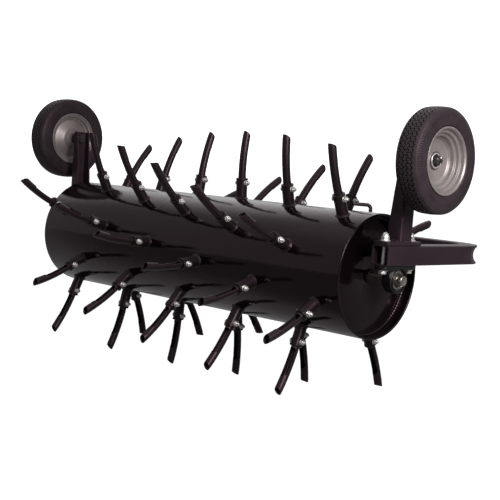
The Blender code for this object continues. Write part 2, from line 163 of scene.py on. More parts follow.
# Studio: how bright each part of the room and floor looks in reflections
ROOM_LEFT = 0.33
ROOM_RIGHT = 0.04
ROOM_BACK = 0.90
ROOM_LOW = 0.30                 # share of ROOM_BACK left near the floor
ROOM_TOP = 0.25
ROOM_WINDOW = 0.60
ROOM_ON_MATT = 0.55             # share of the room's light that reaches matt surfaces
FLOOR_FRONT = 0.14
FLOOR_BACK = 0.30
FLOOR_SIZE = 80.0
KEY_PLACE = (2.2, -0.6, 0.9)    # the key light, from the middle of the drum
KEY_SIZE = (0.9, 0.9)
KEY_POWER = 38.0

PAINT_TINT = (1.0, 0.68, 0.80, 1.0)     # of what the paint and rubber reflect
WHITE = (1.0, 1.0, 1.0, 1.0)
ARC_STEPS = 4
FIT = 0.0002                    # clearance between neighbouring pieces


# ---------------------------------------------------------------- mesh helpers

def skin(bm, rings, loop=False):
    """Faces between successive rings of points: closed at both ends, or round again if loop is set."""
    made = [[bm.verts.new(point) for point in ring] for ring in rings]
    pairs = list(zip(made, made[1:]))
    if loop:
        pairs.append((made[-1], made[0]))
    for first, second in pairs:
        for index in range(len(first)):
            after = (index + 1) % len(first)
            bm.faces.new((first[index], first[after], second[after], second[index]))
    if not loop:
        bm.faces.new(made[0])
        bm.faces.new(made[-1])


def fillet(corners, closed=True, steps=ARC_STEPS):
    """The outline through (x, y, radius) corners, with an arc of that radius at each."""
    outline = []
    last = len(corners) - 1
    for index, (x, y, radius) in enumerate(corners):
        if radius <= 0 or (not closed and index in (0, last)):
            outline.append((x, y))
            continue
        here = Vector((x, y))
        back = (Vector(corners[index - 1][:2]) - here).normalized()
        ahead = (Vector(corners[(index + 1) % len(corners)][:2]) - here).normalized()
        half = back.angle(ahead) / 2
        centre = here + (back + ahead).normalized() * radius / math.sin(half)
        start = here + back * radius / math.tan(half) - centre
        end = here + ahead * radius / math.tan(half) - centre
        for step in range(steps + 1):
            arm = start.lerp(end, step / steps).normalized() * radius
            outline.append(tuple(centre + arm))
    return outline


def lathe(bm, profile, segments, centre=(0.0, 0.0), loop=True):
    """Turns (x, radius) points round a line parallel to X through centre (y, z)."""
    skin(bm, [circle(x, radius, segments, centre) for x, radius in profile], loop)


def band(low, high, inner, outer, inner_fillet, outer_fillet):
    """A flat ring's section as (x, radius), with rounded corners."""
    return fillet([(low, outer, outer_fillet), (high, outer, outer_fillet), (high, inner, inner_fillet),
                   (low, inner, inner_fillet)])


def to_mesh(bm, name, sharp=30):
    bmesh.ops.recalc_face_normals(bm, faces=bm.faces)
    mesh = bpy.data.meshes.new(name)
    bm.to_mesh(mesh)
    bm.free()
    mesh.shade_smooth()
    mesh.set_sharp_from_angle(angle=math.radians(sharp))
    return mesh


def add_piece(name, mesh, material, body, matrix=None, replaces=()):
    """Puts a mesh at its place from the drum's middle and makes it ride on a CAD body."""
    piece = bpy.data.objects.new(name, mesh)
    bpy.context.scene.collection.objects.link(piece)
    if not mesh.materials:
        mesh.materials.append(material)
    piece.matrix_world = Matrix.Translation(AXLE_CENTRE) @ (matrix or Matrix.Identity(4))
    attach(piece, body)
    if replaces:
        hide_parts(*replaces)
    return piece


def lathe_piece(name, profile, segments, material, body, centre=(0.0, 0.0), replaces=()):
    bm = bmesh.new()
    lathe(bm, profile, segments, centre)
    add_piece(name, to_mesh(bm, name), material, body, None, replaces)


def weld_bead(bm, path, radius, ripple, pitch, closed=False, sides=10):
    """A rippled bead of weld along a path of points."""
    travelled = 0.0
    rings = []
    count = len(path)
    for index, point in enumerate(path):
        before = path[index - 1] if index or closed else path[0]
        after = path[(index + 1) % count] if index + 1 < count or closed else path[-1]
        along = (after - before).normalized()
        side = along.orthogonal() if abs(along.z) > 0.9 else along.cross(Vector((0, 0, 1)))
        if index:
            travelled += (point - path[index - 1]).length
        wave = math.sin(math.tau * travelled / pitch)
        size = radius * (1 + ripple * wave)
        if not closed and index in (0, count - 1):
            size *= 0.35
        rings.append(round_section(point, along, side.normalized(), size, sides))
    skin(bm, rings, closed)


def add_welds(name, welds, paint, body):
    """Adds one piece of weld beads, each given as what follows bm in weld_bead."""
    bm = bmesh.new()
    for weld in welds:
        weld_bead(bm, *weld)
    add_piece(name, to_mesh(bm, name, 60), paint, body)


def straight(start, end, steps):
    return [Vector(start).lerp(Vector(end), step / steps) for step in range(steps + 1)]


def round_section(point, along, side, size, sides):
    """A ring of points round a point, square to the direction along."""
    up = side.cross(along).normalized()
    ring = []
    for step in range(sides):
        angle = math.tau * step / sides
        ring.append(point + size * (side * math.cos(angle) + up * math.sin(angle)))
    return ring


def circle(x, radius, sides=48, centre=(0.0, 0.0)):
    """A ring of points at x, round a line parallel to X through centre (y, z)."""
    ring = []
    for step in range(sides):
        angle = math.tau * step / sides
        ring.append(Vector((x, centre[0] + radius * math.cos(angle), centre[1] + radius * math.sin(angle))))
    return ring


def level_circle(z, radius, sides, centre=(0.0, 0.0)):
    """A ring of points at height z, round an upright line through centre (x, y)."""
    return [Vector((point.y, point.z, z)) for point in circle(0.0, radius, sides, centre)]


def hexagon(x, flat, limit, sides=48):
    """One ring of a hexagon's outline at x, cut back to a circle of radius limit."""
    ring = []
    for step in range(sides):
        angle = math.tau * step / sides
        off = (angle + math.radians(30)) % math.radians(60) - math.radians(30)
        radius = min(flat / math.cos(off), limit)
        ring.append(Vector((x, radius * math.cos(angle), radius * math.sin(angle))))
    return ring


def hex_head(bm, low, high, flat):
    """A hexagon from low to high along X, with both ends chamfered."""
    corner = flat * 1.16
    chamfer = flat * 0.09
    inside = flat * 0.97
    skin(bm, [circle(low, inside * 0.6), hexagon(low, flat, inside), hexagon(low + chamfer, flat, corner),
              hexagon(high - chamfer, flat, corner), hexagon(high, flat, inside),
              circle(high, inside * 0.6)])


def washer(bm, low, high, radius):
    edge = 0.0004
    skin(bm, [circle(low, radius * 0.5), circle(low, radius - edge), circle(low + edge, radius),
              circle(high - edge, radius), circle(high, radius - edge), circle(high, radius * 0.5)])


def threaded_end(bm, low, high, radius, pitch=0.00125):
    """A rod from low to high along X, with thread grooves and a rounded end at high."""
    rings = [circle(low, radius * 0.9, 24)]
    turns = int((high - low - radius * 0.3) / pitch)
    for turn in range(turns):
        rings.append(circle(low + pitch * (turn + 0.15), radius * 0.88, 24))
        rings.append(circle(low + pitch * (turn + 0.50), radius, 24))
        rings.append(circle(low + pitch * (turn + 0.75), radius, 24))
    top = low + pitch * turns
    rings.append(circle(top, radius * 0.88, 24))
    rings.append(circle(high, radius * 0.66, 24))
    skin(bm, rings)


# ---------------------------------------------------------------- materials

def set_inputs(tree, item, inputs):
    """Sets a node's inputs, by name or number, each to a value or a socket."""
    for name, value in inputs.items():
        if isinstance(value, bpy.types.NodeSocket):
            tree.links.new(value, item.inputs[name])
        else:
            item.inputs[name].default_value = value


def node(tree, kind, inputs=None, **settings):
    made = tree.nodes.new(kind)
    for name, value in settings.items():
        setattr(made, name, value)
    set_inputs(tree, made, inputs or {})
    return made


def noise(tree, scale, detail):
    """A noise texture in the piece's own coordinates, in waves per metre."""
    place = node(tree, "ShaderNodeTexCoord").outputs["Object"]
    inputs = {"Vector": place, "Scale": scale, "Detail": detail}
    return node(tree, "ShaderNodeTexNoise", inputs).outputs["Fac"]


def spread(tree, source, low, high, start=0.3, end=0.7, kind="LINEAR"):
    """Maps a value that goes from start to end to the range low to high."""
    inputs = {"Value": source, "From Min": start, "From Max": end, "To Min": low, "To Max": high}
    return node(tree, "ShaderNodeMapRange", inputs, interpolation_type=kind).outputs["Result"]


def ramp(tree, source, start, end, low, high):
    """A smooth step from low to high as the source goes from start to end."""
    return spread(tree, source, low, high, start, end, "SMOOTHSTEP")


def blend(tree, factor, first, second):
    """Mixes two colours, each a tuple or a socket."""
    made = node(tree, "ShaderNodeMix", {"Factor": factor}, data_type="RGBA")
    for socket, colour in (("A", first), ("B", second)):
        target = next(i for i in made.inputs if i.name == socket and i.type == "RGBA")
        if isinstance(colour, tuple):
            target.default_value = (*colour, 1.0)
        else:
            tree.links.new(colour, target)
    return next(o for o in made.outputs if o.type == "RGBA")


def bump(tree, height, strength, distance, before=None):
    inputs = {"Height": height, "Strength": strength, "Distance": distance}
    if before:
        inputs["Normal"] = before
    return node(tree, "ShaderNodeBump", inputs).outputs["Normal"]


def edges(tree, low, high):
    """A mask that is 1 on worn outside edges and 0 elsewhere."""
    shape = node(tree, "ShaderNodeNewGeometry")
    return spread(tree, shape.outputs["Pointiness"], 0.0, 1.0, low, high)


def cloudy(tree, scale, detail, first, second):
    """A colour that drifts between two."""
    return blend(tree, spread(tree, noise(tree, scale, detail), 0.0, 1.0), first, second)


def finish_surface(tree, shader, colour, gloss, grain):
    """Sets a colour, a roughness and a bump. The last two start with their noise's scale and detail."""
    roughness = spread(tree, noise(tree, *gloss[:2]), *gloss[2:])
    normal = bump(tree, noise(tree, *grain[:2]), *grain[2:])
    set_inputs(tree, shader, {"Base Color": colour, "Roughness": roughness, "Normal": normal})


def new_material(name, metallic=0.0, specular=0.5, tint=WHITE):
    material = bpy.data.materials.new(name)
    material.use_nodes = True
    tree = material.node_tree
    shader = tree.nodes["Principled BSDF"]
    set_inputs(tree, shader, {"Metallic": metallic, "Specular IOR Level": specular, "Specular Tint": tint})
    return material, tree, shader


def paint_material(name, dull, shiny, dark, pale):
    """Black powder coat: orange peel, uneven gloss, dust film and paler edges."""
    material, tree, shader = new_material(name, tint=PAINT_TINT)
    film = cloudy(tree, 9.0, 4.0, dark, pale)
    worn = blend(tree, edges(tree, 0.53, 0.60), film, (0.022, 0.014, 0.018))
    waves = bump(tree, noise(tree, 34.0, 2.0), 0.10, 0.004)
    finish_surface(tree, shader, worn, (22.0, 5.0, shiny, dull), (620.0, 2.0, 0.05, 0.0005, waves))
    return material


def cast_material():
    """Painted cast iron: the same black over a sandy surface."""
    material, tree, shader = new_material("painted_cast_iron")
    film = cloudy(tree, 60.0, 4.0, (0.0040, 0.0026, 0.0034), (0.0085, 0.0056, 0.0070))
    finish_surface(tree, shader, film, (90.0, 4.0, 0.30, 0.44), (900.0, 3.0, 0.35, 0.0008))
    return material


def zinc_material():
    """Bright zinc plating: pale metal with faint clouding."""
    material, tree, shader = new_material("bright_zinc", 0.70)
    cloud = cloudy(tree, 160.0, 4.0, (0.80, 0.77, 0.74), (0.97, 0.95, 0.925))
    finish_surface(tree, shader, cloud, (240.0, 3.0, 0.24, 0.38), (1500.0, 2.0, 0.08, 0.0002))
    return material


def steel_material():
    """Ground steel: fine marks round the X axis, with a warm oxide tint in places."""
    material, tree, shader = new_material("ground_steel", 1.0)
    place = node(tree, "ShaderNodeTexCoord").outputs["Object"]
    stretch = node(tree, "ShaderNodeMapping", {"Vector": place, "Scale": (1.0, 0.04, 0.04)})
    marks = node(tree, "ShaderNodeTexNoise", {"Vector": stretch.outputs["Vector"], "Scale": 1800.0})
    tint = cloudy(tree, 70.0, 4.0, (0.62, 0.55, 0.47), (0.78, 0.74, 0.68))
    roughness = spread(tree, marks.outputs["Fac"], 0.18, 0.34)
    normal = bump(tree, marks.outputs["Fac"], 0.20, 0.0003)
    set_inputs(tree, shader, {"Base Color": tint, "Roughness": roughness, "Normal": normal})
    return material


def dark_steel_material():
    """Blackened steel: wheel bolts and nuts and bearing seals, and the dark rings in the bearing collars'
    recesses, whose colour paints the recesses' shade.
    """
    material, tree, shader = new_material("blackened_steel_and_recess_shade", 0.75)
    cloud = cloudy(tree, 140.0, 4.0, (0.060, 0.054, 0.054), (0.150, 0.138, 0.136))
    finish_surface(tree, shader, cloud, (200.0, 3.0, 0.22, 0.38), (1200.0, 2.0, 0.15, 0.0003))
    return material


def rubber_material():
    """Moulded rubber: matt, with bloom that greys the raised edges."""
    material, tree, shader = new_material("moulded_rubber", 0.0, 0.32, PAINT_TINT)
    bloom = cloudy(tree, 26.0, 5.0, (0.023, 0.0165, 0.0195), (0.038, 0.028, 0.033))
    worn = blend(tree, edges(tree, 0.515, 0.58), bloom, (0.050, 0.041, 0.044))
    finish_surface(tree, shader, worn, (120.0, 4.0, 0.42, 0.60), (1400.0, 3.0, 0.30, 0.0004))
    return material


def silver_material():
    """Satin silver-grey paint on the rims: fine metal flake and a little dust."""
    material, tree, shader = new_material("satin_silver_paint", 0.50)
    place = node(tree, "ShaderNodeTexCoord").outputs["Object"]
    flake = node(tree, "ShaderNodeTexVoronoi", {"Vector": place, "Scale": 2600.0})
    base = cloudy(tree, 30.0, 4.0, (0.27, 0.232, 0.226), (0.35, 0.305, 0.296))
    speck = blend(tree, spread(tree, flake.outputs["Distance"], 0.35, 0.0, 0.0, 0.5), base,
                  (0.50, 0.47, 0.46))
    finish_surface(tree, shader, speck, (60.0, 4.0, 0.38, 0.50), (500.0, 2.0, 0.10, 0.0004))
    return material


def along_view(tree, vector):
    """How far a vector reaches away from the camera, level."""
    away = (-math.sin(CAMERA_AZIMUTH), math.cos(CAMERA_AZIMUTH), 0.0)
    made = node(tree, "ShaderNodeVectorMath", {0: vector, 1: away}, operation="DOT_PRODUCT")
    return made.outputs["Value"]


def floor_material():
    """White paper, clear from below: faint shadows for the camera, and dim in front for reflections."""
    material, tree, shader = new_material("pale_floor", 0.0, 0.2)
    tone = cloudy(tree, 0.6, 2.0, (0.12, 0.12, 0.12), (0.14, 0.14, 0.14))
    set_inputs(tree, shader, {"Base Color": tone, "Roughness": 0.6, "Emission Color": WHITE,
                              "Emission Strength": 0.97})
    ray = node(tree, "ShaderNodeNewGeometry").outputs
    share = ramp(tree, along_view(tree, ray["Incoming"]), -0.40, -0.05, FLOOR_BACK, FLOOR_FRONT)
    glow = node(tree, "ShaderNodeEmission", {"Strength": share}).outputs["Emission"]
    for_camera = node(tree, "ShaderNodeLightPath").outputs["Is Camera Ray"]
    paper = node(tree, "ShaderNodeMixShader", {"Fac": for_camera, 1: glow, 2: shader.outputs["BSDF"]})
    clear = node(tree, "ShaderNodeBsdfTransparent").outputs["BSDF"]
    either = node(tree, "ShaderNodeMixShader", {"Fac": ray["Backfacing"], 1: paper.outputs["Shader"],
                                                2: clear})
    set_inputs(tree, tree.nodes["Material Output"], {"Surface": either.outputs["Shader"]})
    return material


# ---------------------------------------------------------------- drum

def tine_places():
    """The (row, number, x, angle) of every tine."""
    places = []
    for row, row_angle in enumerate(ROW_ANGLES):
        count = WIDE_ROW if row % 2 == 0 else NARROW_ROW
        for number in range(count):
            steps = number - (count - 1) / 2
            angle = math.radians(row_angle) + HELIX_STEP * steps
            places.append((row + 1, number + 1, COLUMN_PITCH * steps, angle))
    return places


def tine_matrix(x, angle):
    """Turns a tine that stands on +Y at the drum's surface to its place on the drum."""
    lean = Matrix.Rotation(SOCKET_LEAN, 4, "X")
    return (Matrix.Translation((x, 0, 0)) @ Matrix.Rotation(angle, 4, "X")
            @ Matrix.Translation((0, DRUM_RADIUS, 0)) @ lean)


def surface_height(x, z):
    """How far along a socket's axis the drum's surface lies, at (x, z) off that axis."""
    sine = math.sin(SOCKET_LEAN)
    cosine = math.cos(SOCKET_LEAN)
    # A point (x, t, z) of the tine's frame is (DRUM_RADIUS + t cos - z sin, t sin + z cos) on the drum
    b = (DRUM_RADIUS - z * sine) * cosine + z * cosine * sine
    c = (DRUM_RADIUS - z * sine) ** 2 + (z * cosine) ** 2 - DRUM_RADIUS ** 2
    return -b + math.sqrt(b * b - c)


def socket_mesh():
    """A socket tube with a ripply bead of weld round its foot and a blind bore."""
    levels = ((0.0070, -0.0012), (0.0049, 0.0008), (0.0032, 0.0024), (0.0014, 0.0038), (0.0, 0.0048))
    rings = []
    for out, up in levels:
        ring = []
        for step in range(SOCKET_SIDES):
            angle = math.tau * step / SOCKET_SIDES
            ripple = 1 + 0.16 * math.sin(14 * angle) + 0.08 * math.sin(5 * angle + 1)
            radius = SOCKET_RADIUS + out * 0.72 * ripple
            x = radius * math.cos(angle)
            z = radius * math.sin(angle)
            ring.append(Vector((x, surface_height(x, z) + up * ripple, z)))
        rings.append(ring)
    root = [Vector((point.x, surface_height(point.x, point.z) - 0.004, point.z)) for point in rings[0]]
    rings.insert(0, root)
    collar = SOCKET_RADIUS + COLLAR
    mouth = fillet([(SOCKET_RADIUS, 0.012, 0), (SOCKET_RADIUS, SOCKET_HEIGHT - 0.0058, 0.0004),
                    (collar, SOCKET_HEIGHT - 0.0050, 0.0004), (collar, SOCKET_HEIGHT, 0.0012),
                    (SOCKET_BORE, SOCKET_HEIGHT, 0.0008), (SOCKET_BORE, SOCKET_DEPTH, 0)], closed=False)
    for radius, along in mouth:
        rings.append([Vector((point.y, along, point.z)) for point in circle(0.0, radius, SOCKET_SIDES)])
    bm = bmesh.new()
    skin(bm, rings)
    return to_mesh(bm, "socket", 40)


def tine_ring(along, radius):
    """A ring of points round the spoon's centre line at a distance beyond the drum's surface."""
    ring = []
    for step in range(SPOON_SIDES):
        angle = math.tau * (step + 0.5) / SPOON_SIDES
        here = along
        if along >= SPOON_LENGTH - 1e-6:
            here -= SPOON_SLANT * (SPOON_RADIUS - radius * math.sin(angle))
        elif along == WINDOW[1]:
            here += WINDOW_SLOPE * SPOON_RADIUS * max(0.0, -math.sin(angle) - 0.47)
        beyond = max(0.0, here - SOCKET_HEIGHT)
        turn = math.asin(beyond / SPOON_BEND)
        centre = Vector((0, here, -SPOON_BEND * (1 - math.cos(turn))))
        across = Vector((0, math.sin(turn), math.cos(turn)))
        ring.append(centre + radius * (across * math.sin(angle) + Vector((1, 0, 0)) * math.cos(angle)))
    return ring


def spoon_mesh():
    """A curved coring spoon: a trough along the inside of the curve, and a closed tube at the tip."""
    bm = bmesh.new()
    start, end = WINDOW
    inner_radius = SPOON_RADIUS - SPOON_WALL
    steps = 10
    window_levels = [start + (end - start) * step / steps for step in range(steps)] + [end]
    tip_levels = [end + 0.009 + (SPOON_LENGTH - 0.022 - end) * step / 3 for step in range(4)]
    outer_levels = [(SOCKET_DEPTH, SPOON_RADIUS - 0.0002)]
    outer_levels += [(along, SPOON_RADIUS) for along in window_levels + tip_levels]
    outer_levels += [(SPOON_LENGTH, SPOON_RADIUS - 0.0005)]
    inner_levels = [(along, inner_radius) for along in window_levels + tip_levels]
    inner_levels += [(SPOON_LENGTH, inner_radius + 0.0011)]
    outer = [[bm.verts.new(point) for point in tine_ring(*level)] for level in outer_levels]
    inner = [[bm.verts.new(point) for point in tine_ring(*level)] for level in inner_levels]
    opening = range(SPOON_SIDES // 2 + 2, SPOON_SIDES - 3)

    def quad(first, second, index):
        after = (index + 1) % SPOON_SIDES
        bm.faces.new((first[index], first[after], second[after], second[index]))

    for level in range(len(outer) - 1):
        for index in range(SPOON_SIDES):
            if not (1 <= level <= steps and index in opening):
                quad(outer[level], outer[level + 1], index)
    for level in range(len(inner) - 1):
        for index in range(SPOON_SIDES):
            if not (level < steps and index in opening):
                quad(inner[level], inner[level + 1], index)
    for index in range(SPOON_SIDES):
        quad(outer[-1], inner[-1], index)
    for index in opening:
        quad(outer[1], inner[0], index)
        quad(outer[1 + steps], inner[steps], index)
    for edge in (opening[0], opening[-1] + 1):
        for level in range(steps):
            bm.faces.new((outer[1 + level][edge], outer[2 + level][edge], inner[level + 1][edge],
                          inner[level][edge]))
    bm.faces.new(outer[0])
    bm.faces.new(inner[0])
    return to_mesh(bm, "spoon", 40)


def cross_bolt_mesh():
    """The bolt through a socket: hexagon head on one side, nut and bare thread on the other."""
    bm = bmesh.new()
    face = SOCKET_RADIUS - 0.0004
    hex_head(bm, -face - 0.0055, -face, CROSS_BOLT_FLAT)
    hex_head(bm, face + 0.0016, face + 0.0086, CROSS_BOLT_FLAT)
    washer(bm, face, face + 0.0016, 0.0080)
    threaded_end(bm, -face + 0.001, face + 0.0145, CROSS_BOLT_RADIUS)
    return to_mesh(bm, "cross_bolt", 25)


def build_tines(paint, zinc):
    socket = socket_mesh()
    spoon = spoon_mesh()
    bolt = cross_bolt_mesh()
    for row, number, x, angle in tine_places():
        place = tine_matrix(x, angle)
        label = f"row{row}_no{number}"
        add_piece(f"socket_{label}", socket, paint, "drum", place)
        add_piece(f"spoon_{label}", spoon, paint, "drum", place, [f"tine_{label}"])
        twist = Matrix.Rotation(math.radians(23 * (row * 7 + number * 5) % 60), 4, "X")
        at_bolt = place @ Matrix.Translation((0, SOCKET_HEIGHT - CROSS_BOLT_DEPTH, 0)) @ twist
        add_piece(f"cross_bolt_{label}", bolt, zinc, "drum", at_bolt)


def build_drum(paint, steel):
    end = DRUM_LENGTH / 2
    inside = DRUM_RADIUS - SHELL_WALL
    lip = 0.0014
    corners = [(end, DRUM_RADIUS, lip), (end, inside, lip), (end - PLATE_RECESS, inside, 0)]
    corners += [(-x, radius, size) for x, radius, size in reversed(corners)]
    corners += [(-0.30, DRUM_RADIUS, 0), (0.0, DRUM_RADIUS, 0), (0.30, DRUM_RADIUS, 0)]
    lathe_piece("drum_shell", fillet(corners), DRUM_SEGMENTS, paint, "drum",
                replaces=["drum"])
    face = end - PLATE_RECESS
    for name, sign in SIDES:
        plate = band(sign * face, sign * (face - SHELL_WALL), AXLE_RADIUS + FIT, inside - 2 * FIT,
                     0.0008, 0.001)
        lathe_piece(f"end_plate_{name}", plate, DRUM_SEGMENTS, paint, "drum")
        round_plate = circle(sign * (face + 0.0012), inside - 0.0022, 480)
        add_welds(f"end_weld_{name}", [(round_plate, 0.0042, 0.10, 0.0085, True)], paint, "drum")
        round_axle = circle(sign * (face + 0.0008), AXLE_RADIUS + 0.0022, 96)
        add_welds(f"axle_weld_{name}", [(round_axle, 0.0036, 0.10, 0.005, True)], paint, "drum")
    half = AXLE_LENGTH / 2
    shaft = fillet([(-half, 0.0010, 0), (-half, AXLE_RADIUS, 0.0016), (half, AXLE_RADIUS, 0.0016),
                    (half, 0.0010, 0)], closed=False)
    bm = bmesh.new()
    lathe(bm, shaft, 72, loop=False)
    add_piece("axle_shaft", to_mesh(bm, "axle_shaft"), steel, "drum", None, ["axle"])


# ---------------------------------------------------------------- bearings

def apply_modifiers(piece):
    """Turns a piece's modified shape into its own mesh."""
    shape = piece.evaluated_get(bpy.context.evaluated_depsgraph_get())
    mesh = bpy.data.meshes.new_from_object(shape)
    piece.modifiers.clear()
    piece.data = mesh
    return mesh


def temporary(name, bm):
    """An object that is only there to shape another."""
    item = bpy.data.objects.new(name, to_mesh(bm, name))
    bpy.context.scene.collection.objects.link(item)
    return item


def cut_away(piece, cutter):
    """Takes the cutter's shape out of a piece, and removes the cutter."""
    cut = piece.modifiers.new("cut", "BOOLEAN")
    cut.object = cutter
    cut.operation = "DIFFERENCE"
    cut.solver = "EXACT"
    bpy.context.view_layer.update()
    mesh = apply_modifiers(piece)
    bpy.data.objects.remove(cutter)
    return mesh


def housing_mesh():
    """A cast pillow block, upside down: feet, ribs and ring melted together, then bored and drilled."""
    bm = bmesh.new()
    foot_low = BLOCK_HEIGHT - FOOT_THICKNESS
    half = BLOCK_WIDTH / 2
    length = BLOCK_LENGTH / 2
    plan = fillet([(-half, -length, 0.015), (half, -length, 0.015), (half, length, 0.015),
                   (-half, length, 0.015)], steps=8)
    skin(bm, [[Vector((x, y, z)) for x, y in plan] for z in (foot_low, BLOCK_HEIGHT)])
    web = [(-0.044, foot_low + 0.004), (0.044, foot_low + 0.004), (0.030, -0.010), (-0.030, -0.010)]
    skin(bm, [[Vector((x, y, z)) for y, z in web] for x in (-0.0095, 0.0095)])
    for radius, width in ((DOME_RADIUS, DOME_WIDTH), (0.0305, 0.034)):
        lathe(bm, [(-width / 2, radius), (width / 2, radius)], 64, loop=False)
    item = temporary("housing_shape", bm)
    melt = item.modifiers.new("melt", "REMESH")
    melt.mode = "VOXEL"
    melt.voxel_size = 0.0011
    soften = item.modifiers.new("soften", "SMOOTH")
    soften.iterations = 5
    soften.factor = 0.5
    apply_modifiers(item)
    bm = bmesh.new()
    bore = fillet([(-BLOCK_WIDTH, HOUSING_BORE + 0.012, 0), (-0.0165, HOUSING_BORE, 0),
                   (0.0165, HOUSING_BORE, 0), (BLOCK_WIDTH, HOUSING_BORE + 0.012, 0)], closed=False)
    lathe(bm, bore, 72, loop=False)
    for side in (-1, 1):
        skin(bm, [level_circle(z, BOLT_HOLE, 24, (0.0, side * BOLT_SPACING / 2))
                  for z in (foot_low - 0.01, BLOCK_HEIGHT + 0.01)])
    mesh = cut_away(item, temporary("housing_cutter", bm))
    bpy.data.objects.remove(item)
    mesh.name = "bearing_housing"
    mesh.shade_smooth()
    mesh.set_sharp_from_angle(angle=math.radians(38))
    return mesh


def block_bolt_mesh(head, foot, top):
    """A long bolt up through foot, rail and arm plate to a domed nut, laid along X."""
    bm = bmesh.new()
    hex_head(bm, head, foot - WASHER_THICKNESS, BOLT_FLAT)
    washer(bm, foot - WASHER_THICKNESS, foot, WASHER_RADIUS)
    washer(bm, top, top + WASHER_THICKNESS, WASHER_RADIUS)
    nut_low = top + WASHER_THICKNESS
    chamfer = BOLT_FLAT * 0.12
    inside = BOLT_FLAT * 0.97
    rings = [circle(nut_low, BOLT_FLAT * 0.6), hexagon(nut_low, BOLT_FLAT, inside),
             hexagon(nut_low + chamfer, BOLT_FLAT, BOLT_FLAT * 1.16),
             hexagon(nut_low + NUT_SIDES - chamfer, BOLT_FLAT, BOLT_FLAT * 1.16),
             hexagon(nut_low + NUT_SIDES, BOLT_FLAT, inside)]
    for step in range(1, 7):
        angle = math.radians(14 * step)
        rise = (NUT_HEIGHT - NUT_SIDES) * math.sin(angle)
        rings.append(circle(nut_low + NUT_SIDES + rise, inside * math.cos(angle)))
    skin(bm, rings)
    skin(bm, [circle(foot - 0.001, BOLT_RADIUS, 32), circle(nut_low + 0.002, BOLT_RADIUS, 32)])
    return to_mesh(bm, "block_bolt", 25)


def build_bearings(cast, zinc, steel, dark):
    housing = housing_mesh()
    foot = BLOCK_HEIGHT - FOOT_THICKNESS
    top = RAIL_Z + TUBE / 2 + PLATE_THICKNESS + 3 * FIT
    half = RING_WIDTH / 2
    floor = half - RING_RECESS
    hole = AXLE_RADIUS + 0.0003
    bolt = block_bolt_mesh(foot - WASHER_THICKNESS - HEAD_HEIGHT, foot, top)
    stand_up = Matrix.Rotation(math.radians(-90), 4, "Y")
    for name, sign in SIDES:
        x = sign * BEARING_X
        add_piece(f"bearing_housing_{name}", housing, cast, "frame",
                  Matrix.Translation((x, 0, 0)), [f"{name}_bearing_housing"])
        race = band(x - OUTER_RING_HALF, x + OUTER_RING_HALF, OUTER_RING_BORE, HOUSING_BORE - 2 * FIT,
                    0.0006, 0.001)
        lathe_piece(f"bearing_outer_ring_{name}", race, 96, steel, "frame")
        seal = fillet([(x - 0.0072, OUTER_RING_BORE - FIT, 0.0004),
                       (x + 0.0072, OUTER_RING_BORE - FIT, 0.0004),
                       (x + 0.0066, RING_RADIUS + FIT, 0.0004), (x - 0.0066, RING_RADIUS + FIT, 0.0004)])
        lathe_piece(f"bearing_seal_{name}", seal, 96, dark, "frame")
        collar = fillet([(x - half, RING_RADIUS, 0.0012), (x + half, RING_RADIUS, 0.0012),
                         (x + half, 0.0192, 0.0006), (x + floor, 0.0184, 0.0008), (x + floor, hole, 0.0004),
                         (x - floor, hole, 0.0004), (x - floor, 0.0184, 0.0008),
                         (x - half, 0.0192, 0.0006)])
        lathe_piece(f"bearing_inner_ring_{name}", collar, 96, steel, "drum",
                    replaces=[f"{name}_bearing_inner_ring"])
        # Dark rings on the floor of each recess in the collar: their blackened colour is painted shade for
        # the recess.
        bm = bmesh.new()
        for face in (x - floor, x + floor):
            low = min(face, face + math.copysign(0.0030, face - x))
            lathe(bm, fillet([(low, hole, 0.0003), (low, 0.0180, 0.0003), (low + 0.0030, 0.0176, 0.0008),
                              (low + 0.0030, hole, 0.0008)]), 96)
        add_piece(f"bearing_recess_shade_ring_{name}", to_mesh(bm, "bearing_recess_shade_ring"), dark, "drum")
        for end, side in (("rear", -1), ("front", 1)):
            place = Matrix.Translation((x, side * BOLT_SPACING / 2, 0)) @ stand_up
            place = place @ Matrix.Rotation(math.radians(17 * side + 8 * sign), 4, "X")
            add_piece(f"block_bolt_{name}_{end}", bolt, zinc, "frame", place)


# ---------------------------------------------------------------- frame

def tube_outline(half, corner, dent):
    """A square tube's outline as (out, up), with its outer wall pushed in by dent between two lips."""
    corners = fillet([(-half, -half, corner), (half, -half, corner), (half, half, corner),
                      (-half, half, corner)], steps=5)
    outline = []
    for index, (out, up) in enumerate(corners):
        following = corners[(index + 1) % len(corners)]
        outline.append((out, up))
        if abs(following[1] - up) > half or abs(following[0] - out) > half:
            for step in range(1, 12):
                share = step / 12
                outline.append((out + (following[0] - out) * share, up + (following[1] - up) * share))
    shaped = []
    for out, up in outline:
        if out > half * 0.55:
            share = min(1.0, abs(up) / half)
            push = dent * max(0.0, math.cos(share * math.pi / 2)) ** 0.8
            out -= push
            if share > 0.7:
                out += dent * 0.10
        shaped.append((out, up))
    return shaped


